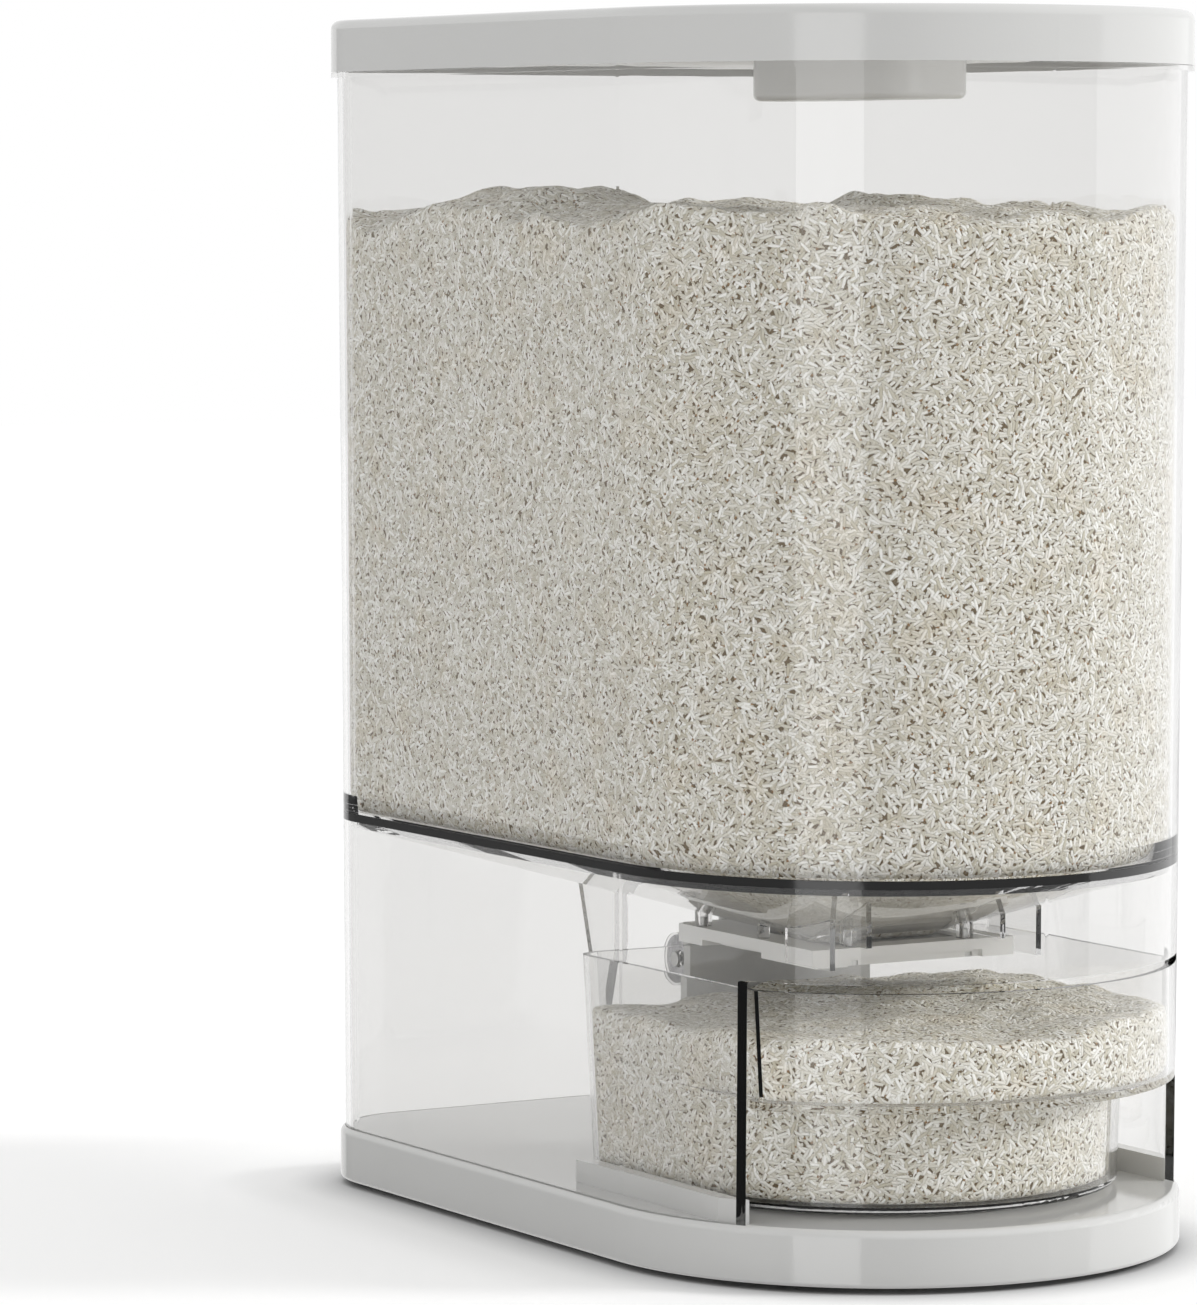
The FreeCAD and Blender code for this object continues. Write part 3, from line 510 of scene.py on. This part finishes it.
def loose_heap(node, lift):
    """Rice as one poured mass: close mesh, with lumps on its free surface."""
    piece = working_copy(node, node.replace("_rice", "_grains"))
    apply_modifier(piece, "REMESH", mode="VOXEL", voxel_size=HEAP_MESH)
    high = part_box(node)[1]
    floor = high.z - HEAP_DEPTH
    for polygon in piece.data.polygons:
        polygon.select = polygon.normal.z > HEAP_FLATTEST and polygon.center.z > floor
    for edge in piece.data.edges:
        edge.select = False
    for vertex in piece.data.vertices:
        vertex.select = False
    bpy.ops.object.mode_set(mode="EDIT")
    bpy.ops.mesh.select_mode(type="FACE")
    bpy.ops.mesh.subdivide(number_cuts=1)
    bpy.ops.object.mode_set(mode="OBJECT")
    free = piece.vertex_groups.new(name="free")
    for vertex in piece.data.vertices:
        share = min(max((vertex.co.z - floor) / (HEAP_DEPTH / 2), 0.0), 1.0)
        if share > 0.0:
            free.add([vertex.index], share, "REPLACE")
    for size, part in HEAP_LUMPS:
        lumps = bpy.data.textures.new("lumps", "CLOUDS")
        lumps.noise_scale = size
        lumps.noise_depth = 1
        apply_modifier(piece, "DISPLACE", texture=lumps, texture_coords="LOCAL", direction="Z",
                       vertex_group="free", strength=lift * part, mid_level=LUMP_LEVEL)
    apply_modifier(piece, "SMOOTH", vertex_group="free", factor=0.5, iterations=HEAP_SMOOTHING)
    bpy.ops.object.shade_smooth()
    return piece


def mirror_panel(name, azimuths, strength):
    """Tall panel that only reflections see, between two directions from the object."""
    middle = math.radians(sum(azimuths) / 2)
    half = PANEL_DISTANCE * math.tan(math.radians(azimuths[1] - azimuths[0]) / 2)
    clear_selection()
    bpy.ops.mesh.primitive_plane_add(size=1.0)
    panel = bpy.context.object
    panel.name = name
    panel.scale = (2 * half, PANEL_HIGH - PANEL_LOW, 1.0)
    panel.rotation_euler = (math.radians(90), 0.0, middle)
    away = Vector((math.sin(middle), -math.cos(middle), 0.0)) * PANEL_DISTANCE
    panel.location = away + Vector((0.0, 0.0, (PANEL_HIGH + PANEL_LOW) / 2))
    panel.data.materials.append(emission(name, strength))
    panel.visible_camera = False
    panel.visible_diffuse = False
    panel.visible_transmission = False
    panel.visible_shadow = False
    panel.visible_volume_scatter = False


class DispenserSettings(bpy.types.PropertyGroup):
    """Colours, sizes and light levels that a user would change."""

    white: bpy.props.FloatVectorProperty(
        name="Base and lid", description="Colour of the white plastic", subtype="COLOR",
        default=(0.585, 0.585, 0.575), min=0.0, max=1.0)
    frame_grey: bpy.props.FloatVectorProperty(
        name="Frame", description="Colour of the shutter frame", subtype="COLOR",
        default=(0.90, 0.90, 0.89), min=0.0, max=1.0)
    paddle_grey: bpy.props.FloatVectorProperty(
        name="Paddle", description="Colour of the paddle and the shutter", subtype="COLOR",
        default=(0.61, 0.61, 0.60), min=0.0, max=1.0)
    grain_length: bpy.props.FloatProperty(
        name="Grain length", description="Length of a grain of rice", subtype="DISTANCE",
        unit="LENGTH", default=0.0058, min=0.003, max=0.010, precision=4)
    grain_width: bpy.props.FloatProperty(
        name="Grain width", description="Width of a grain of rice", subtype="DISTANCE",
        unit="LENGTH", default=0.00116, min=0.0008, max=0.004, precision=5)
    tank_lumps: bpy.props.FloatProperty(
        name="Lumps in the tank", description="Height of the lumps on the rice in the tank",
        subtype="DISTANCE", unit="LENGTH", default=0.014, min=0.0, max=0.02, precision=4)
    cup_lumps: bpy.props.FloatProperty(
        name="Lumps in the cup", description="Height of the lumps on the rice in the cup",
        subtype="DISTANCE", unit="LENGTH", default=0.008, min=0.0, max=0.01, precision=4)
    room_light: bpy.props.FloatProperty(
        name="Room light", description="Strength of the even light",
        default=0.9, min=0.0, max=2.0)
    key_light: bpy.props.FloatProperty(
        name="Key light", description="Strength of the lamp on the right",
        default=1.57, min=0.0)
    strip_light: bpy.props.FloatProperty(
        name="Strip", description="Brightness of the tall panel that the front mirrors",
        default=2.3, min=0.0)


class DISPENSER_OT_base(bpy.types.Operator):
    """White base on its four rubber feet"""

    bl_idname = "dispenser.base"
    bl_label = "Base and feet"

    def execute(self, context):
        dress(moulded("White plastic", opaque(settings().white), BASE_ROUGH), "base")
        feet = (node for node in NODES if node.startswith("foot_"))
        dress(soft("Foot rubber", FOOT_BLACK, FOOT_ROUGH), *feet)
        return {"FINISHED"}


class DISPENSER_OT_walls(bpy.types.Operator):
    """Clear tank, lower shell, cup and spring reel, with the dark ring between the walls"""

    bl_idname = "dispenser.walls"
    bl_label = "Clear walls"

    def execute(self, context):
        dress(clear_plastic("Clear walls"), "tank", "lower_shell", "drawer_cup", "spring_reel")
        dress(moulded("Seal rubber", SEAL_BLACK, SEAL_ROUGH, SEAL_TEXTURE), "body_seal")
        return {"FINISHED"}


class DISPENSER_OT_rice(bpy.types.Operator):
    """Rice in the tank and in the cup"""

    bl_idname = "dispenser.rice"
    bl_label = "Rice"

    def execute(self, context):
        heaps = (
            ("tank_rice", "housing", settings().tank_lumps, TANK_BRIGHT),
            ("cup_rice", "cup", settings().cup_lumps, CUP_PAINTED_LIGHT),
        )
        for node, body, lift, brightness in heaps:
            heap = loose_heap(node, lift)
            heap.data.materials.clear()
            heap.data.materials.append(rice_grains(node.replace("_", " ") + " grains", brightness))
            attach(heap, body)
            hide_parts(node)
        return {"FINISHED"}


class DISPENSER_OT_shutter(bpy.types.Operator):
    """Grey frame, shutter, paddle, screws and return spring"""

    bl_idname = "dispenser.shutter"
    bl_label = "Shutter"

    def execute(self, context):
        grey_frame = moulded("Frame plastic", opaque(settings().frame_grey), SHUTTER_ROUGH)
        dress(grey_frame, "shutter_frame")
        paddle = moulded("Paddle plastic", opaque(settings().paddle_grey), SHUTTER_ROUGH)
        dress(paddle, "shutter_plate", "push_paddle")
        steel = metal("Zinc screws", SCREW_STEEL, SCREW_ROUGH)
        dress(steel, "frame_screws", "paddle_screws", "reel_pin")
        dress(metal("Spring steel", SPRING_STEEL, SPRING_ROUGH), "return_spring", "spring_strip")
        return {"FINISHED"}


class DISPENSER_OT_lid(bpy.types.Operator):
    """Lid with its liner, gasket, repellent case and the case's holder"""

    bl_idname = "dispenser.lid"
    bl_label = "Lid"

    def execute(self, context):
        dress(moulded("Lid plastic", opaque(settings().white), LID_ROUGH), "lid_cover")
        dress(moulded("Liner plastic", LINER_WHITE, LINER_ROUGH), "lid_liner")
        dress(soft("Gasket", GASKET_WHITE, GASKET_ROUGH), "lid_gasket")
        dress(moulded("Case plastic", CASE_WHITE, CASE_ROUGH), "repellent_case")
        dress(moulded("Holder plastic", HOLDER_WHITE, HOLDER_ROUGH), "case_holder")
        return {"FINISHED"}


class DISPENSER_OT_sachet(bpy.types.Operator):
    """Paper sachet in the repellent case: crowned in the middle, with flat crimped ends"""

    bl_idname = "dispenser.sachet"
    bl_label = "Sachet"

    def execute(self, context):
        low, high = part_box("repellent_sachet")
        middle = (low + high) / 2
        half = (high - low) / 2
        half.y *= SACHET_SHARE
        clear_selection()
        bpy.ops.mesh.primitive_cube_add(size=2.0, location=middle)
        piece = bpy.context.active_object
        piece.name = "repellent_packet"
        bpy.ops.object.mode_set(mode="EDIT")
        bpy.ops.mesh.subdivide(number_cuts=SACHET_CUTS)
        bpy.ops.transform.resize(value=half)
        bpy.ops.object.mode_set(mode="OBJECT")
        for vertex in piece.data.vertices:
            across = vertex.co.x / half.x
            along = vertex.co.y / half.y
            lengthwise = max(1.0 - (abs(along) / SACHET_FILLED) ** 4, 0.0) ** 0.5
            filled = lengthwise * (1.0 - across ** 4) ** 0.5
            crimp = SACHET_CRIMP * math.sin(vertex.co.x / SACHET_PLEAT) * (1.0 - filled)
            vertex.co.z = vertex.co.z * max(filled, SACHET_FLAT) + crimp * half.z
            vertex.co.x *= 1.0 - SACHET_GATHER * filled
        apply_modifier(piece, "SUBSURF", levels=1, render_levels=1)
        bpy.ops.object.shade_smooth()
        bpy.ops.object.transform_apply(location=True, rotation=True, scale=True)
        piece.data.materials.append(soft("Sachet paper", SACHET_PAPER, SACHET_ROUGH))
        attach(piece, "case")
        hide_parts("repellent_sachet")
        return {"FINISHED"}


class DISPENSER_OT_stage(bpy.types.Operator):
    """Pale floor, studio light and the camera"""

    bl_idname = "dispenser.stage"
    bl_label = "Stage"

    def execute(self, context):
        self.floor()
        self.room(context.scene)
        self.key_lamp(context.scene)
        mirror_panel("left_flag", (FLAG_START, STRIP_AZIMUTHS[0]), FLAG_LIGHT)
        mirror_panel("strip_panel", STRIP_AZIMUTHS, settings().strip_light)
        mirror_panel("front_flag", (STRIP_AZIMUTHS[1], SIDE_AZIMUTHS[0]), FLAG_LIGHT)
        mirror_panel("side_panel", SIDE_AZIMUTHS, SIDE_LIGHT)
        self.camera(context.scene)
        context.scene.view_settings.view_transform = "Standard"
        return {"FINISHED"}

    def floor(self):
        """Pale floor that keeps the shadow, with painted shade darkening it close to the base."""
        clear_selection()
        bpy.ops.mesh.primitive_plane_add(size=2 * FLOOR_REACH)
        floor = bpy.context.object
        floor.name = "floor"
        floor.visible_glossy = False
        paint = Paint("Floor")
        # Close to the base the colour goes to the dark grey: a painted contact shadow.
        colour = paint.tint(paint.corners(CONTACT_REACH), FLOOR_PAINTED_SHADOW, FLOOR_PALE)
        matte = paint.add("ShaderNodeBsdfDiffuse", None, {"Color": colour})
        sockets = {"Color": grey(1.0), "Strength": GLOW_STRENGTH}
        shine = paint.add("ShaderNodeEmission", None, sockets)
        # The glow fades close to the base, which paints shade there on top of the floor's real
        # shadow.
        open_sky = paint.corners(GLOW_REACH)
        seen = paint.direct_ray() * GLOW_SHARE * open_sky * open_sky * open_sky
        floor.data.materials.append(paint.surface(paint.blend(seen, matte, shine)))

    def room(self, scene):
        """Even light all round, plain white where it is seen."""
        scene.world = bpy.data.worlds.new("Studio")
        scene.world.use_nodes = True
        paint = Paint("Studio", scene.world.node_tree)
        level = settings().room_light
        strength = paint.direct_ray() * (1.0 - level) + level
        shell = paint.add("ShaderNodeBackground", None, {"Color": grey(1.0), "Strength": strength})
        paint.send(shell, "ShaderNodeOutputWorld")

    def key_lamp(self, scene):
        """Broad lamp from the right that casts the floor's shadow."""
        lamp = bpy.data.lights.new("key", "SUN")
        lamp.angle = math.radians(KEY_ANGLE)
        lamp.energy = settings().key_light
        key = bpy.data.objects.new("key", lamp)
        key.rotation_euler = (math.radians(90 - KEY_RISE), 0.0, math.radians(KEY_AZIMUTH))
        key.visible_glossy = False
        key.visible_transmission = False
        scene.collection.objects.link(key)

    def camera(self, scene):
        """Camera in front on the left, just above the middle."""
        lens = bpy.data.cameras.new("camera")
        lens.sensor_fit = "VERTICAL"
        lens.sensor_height = SENSOR
        lens.lens = CAMERA_LENS
        camera = bpy.data.objects.new("camera", lens)
        camera.location = CAMERA_PLACE
        camera.rotation_euler = Vector(CAMERA_AIM).to_track_quat("-Z", "Y").to_euler()
        scene.collection.objects.link(camera)
        scene.camera = camera


OPERATORS = (
    DISPENSER_OT_base,
    DISPENSER_OT_walls,
    DISPENSER_OT_rice,
    DISPENSER_OT_shutter,
    DISPENSER_OT_lid,
    DISPENSER_OT_sachet,
    DISPENSER_OT_stage,
)


class DISPENSER_PT_panel(bpy.types.Panel):
    """Lists the pieces of the dispenser"""

    bl_idname = "DISPENSER_PT_panel"
    bl_label = "Rice dispenser"
    bl_space_type = "VIEW_3D"
    bl_region_type = "UI"
    bl_category = "Dispenser"

    def draw(self, context):
        for name in DispenserSettings.__annotations__:
            self.layout.prop(context.scene.dispenser, name)
        for operator in OPERATORS:
            self.layout.operator(operator.bl_idname)


CLASSES = (DispenserSettings,) + OPERATORS + (DISPENSER_PT_panel,)


def register():
    """Registers the classes and the settings."""
    for item in CLASSES:
        bpy.utils.register_class(item)
    bpy.types.Scene.dispenser = bpy.props.PointerProperty(type=DispenserSettings)


def unregister():
    """Takes the settings and the classes away."""
    del bpy.types.Scene.dispenser
    for item in reversed(CLASSES):
        bpy.utils.unregister_class(item)


def main():
    """Builds the dispenser and its stage."""
    register()
    bpy.ops.dispenser.base()
    bpy.ops.dispenser.walls()
    bpy.ops.dispenser.rice()
    bpy.ops.dispenser.shutter()
    bpy.ops.dispenser.lid()
    bpy.ops.dispenser.sachet()
    bpy.ops.dispenser.stage()


if __name__ == "__main__":
    main()
